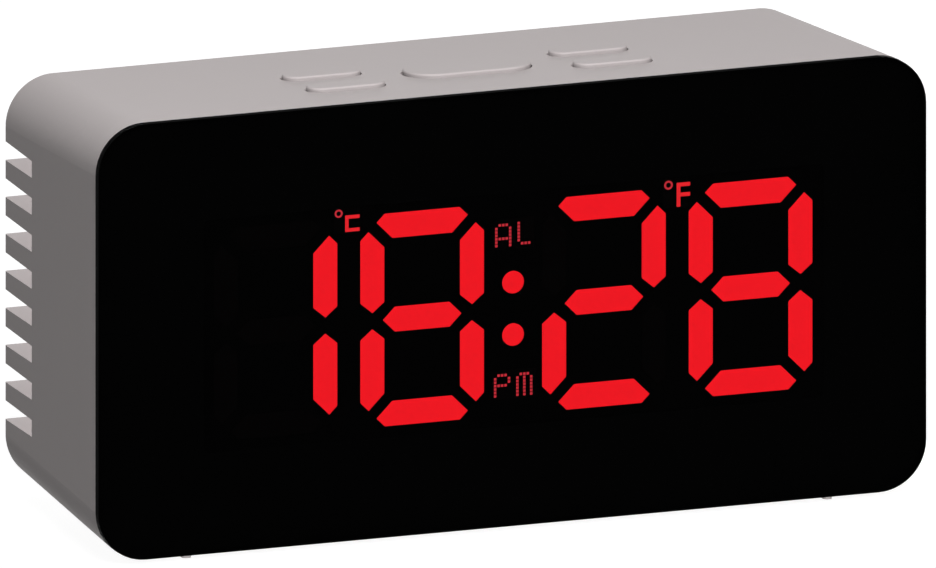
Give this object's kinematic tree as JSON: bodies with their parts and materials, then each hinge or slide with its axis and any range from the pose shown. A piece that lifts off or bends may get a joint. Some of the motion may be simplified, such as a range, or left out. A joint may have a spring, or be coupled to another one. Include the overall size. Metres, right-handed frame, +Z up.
{
  "type": "digital led desk clock",
  "caption": "Desk clock in a tapered rounded case with a black front lens, red seven-segment display, top keys, side vents and a battery door.",
  "frame": {"origin": "on the surface the clock stands on, under the middle of its bounding box", "axes": "+X to the clock's left seen from behind, along its width; the display looks along -Y; +Z up"},
  "size_m": [0.14, 0.047, 0.0716],
  "materials": {
    "case_grey": "fine moulded texture, matt",
    "key_grey": "smooth satin",
    "lens_black": "high gloss, smoked",
    "tape_black": "matt foam tape",
    "chassis_black": "matt",
    "reflector_black": "matt black face",
    "resin_lit": "diffuse red resin, lit",
    "resin_dark": "dark tinted resin, unlit",
    "resin_indicator": "dark film over a light well",
    "board_green": "solder mask",
    "led_white": "moulded chip",
    "chip_black": "moulded epoxy",
    "can_steel": "drawn can",
    "can_aluminium": "drawn can",
    "thermistor_black": "epoxy bead",
    "switch_black": "moulded",
    "plunger_white": "moulded",
    "cell_wrap": "plain wrapped can",
    "contact_nickel": "nickel plated",
    "spring_nickel": "nickel plated wire",
    "inlet_steel": "plated shell",
    "sounder_black": "moulded can",
    "lead_red": "soft sheath",
    "lead_black": "soft sheath",
    "lead_grey": "soft flat sheath",
    "screw_steel": "zinc plated"
  },
  "bodies": {
    "case": {"housing": "case_grey", "front_lens": "lens_black", "lens_tape": "tape_black", "chassis": "chassis_black", "reflector": "reflector_black", "lit_segments": "resin_lit", "dark_segments": "resin_dark", "colon_dots": "resin_lit", "indicator_windows": "resin_indicator", "display_board": "board_green", "led_chips": "led_white", "controller_chip": "chip_black", "crystal": "can_steel", "capacitor": "can_aluminium", "thermistor": "thermistor_black", "key_board": "board_green", "cell_1": "cell_wrap", "cell_2": "cell_wrap", "cell_3": "cell_wrap", "contact_spring_1": "spring_nickel", "contact_spring_2": "spring_nickel", "contact_spring_3": "spring_nickel", "positive_contact": "contact_nickel", "negative_contact": "contact_nickel", "link_contact_1": "contact_nickel", "link_contact_2": "contact_nickel", "inlet_socket": "inlet_steel", "inlet_board": "board_green", "sounder": "sounder_black", "battery_lead_red": "lead_red", "battery_lead_black": "lead_black", "inlet_lead": "lead_black", "sounder_lead": "lead_grey", "key_ribbon": "lead_grey", "chassis_screws": "screw_steel", "display_screws": "screw_steel", "key_board_screws": "screw_steel", "snooze_switch": "switch_black", "set_switch": "switch_black", "alarm_switch": "switch_black", "up_switch": "switch_black", "down_switch": "switch_black"},
    "snooze_button": {"snooze_key": "key_grey", "snooze_plunger": "plunger_white"},
    "set_button": {"set_key": "key_grey", "set_plunger": "plunger_white"},
    "alarm_button": {"alarm_key": "key_grey", "alarm_plunger": "plunger_white"},
    "up_button": {"up_key": "key_grey", "up_plunger": "plunger_white"},
    "down_button": {"down_key": "key_grey", "down_plunger": "plunger_white"},
    "door": {"battery_door": "case_grey"}
  },
  "joints": [
    {"name": "snooze_press", "type": "slide", "parent": "case", "child": "snooze_button", "axis": [0, -0.0527, -0.9986], "range_m": [0, 0.0005], "stiffness_N_per_m": 1600, "springref_m": -0.0005},
    {"name": "set_press", "type": "slide", "parent": "case", "child": "set_button", "axis": [0, -0.0527, -0.9986], "range_m": [0, 0.0005], "stiffness_N_per_m": 1600, "springref_m": -0.0005},
    {"name": "alarm_press", "type": "slide", "parent": "case", "child": "alarm_button", "axis": [0, -0.0527, -0.9986], "range_m": [0, 0.0005], "stiffness_N_per_m": 1600, "springref_m": -0.0005},
    {"name": "up_press", "type": "slide", "parent": "case", "child": "up_button", "axis": [0, -0.0527, -0.9986], "range_m": [0, 0.0005], "stiffness_N_per_m": 1600, "springref_m": -0.0005},
    {"name": "down_press", "type": "slide", "parent": "case", "child": "down_button", "axis": [0, -0.0527, -0.9986], "range_m": [0, 0.0005], "stiffness_N_per_m": 1600, "springref_m": -0.0005},
    {"name": "door_hinge", "type": "hinge", "parent": "case", "child": "door", "pos_m": [0, 0.02245, 0.018], "axis": [-1, 0, 0], "range_deg": [0, 80]}
  ]
}
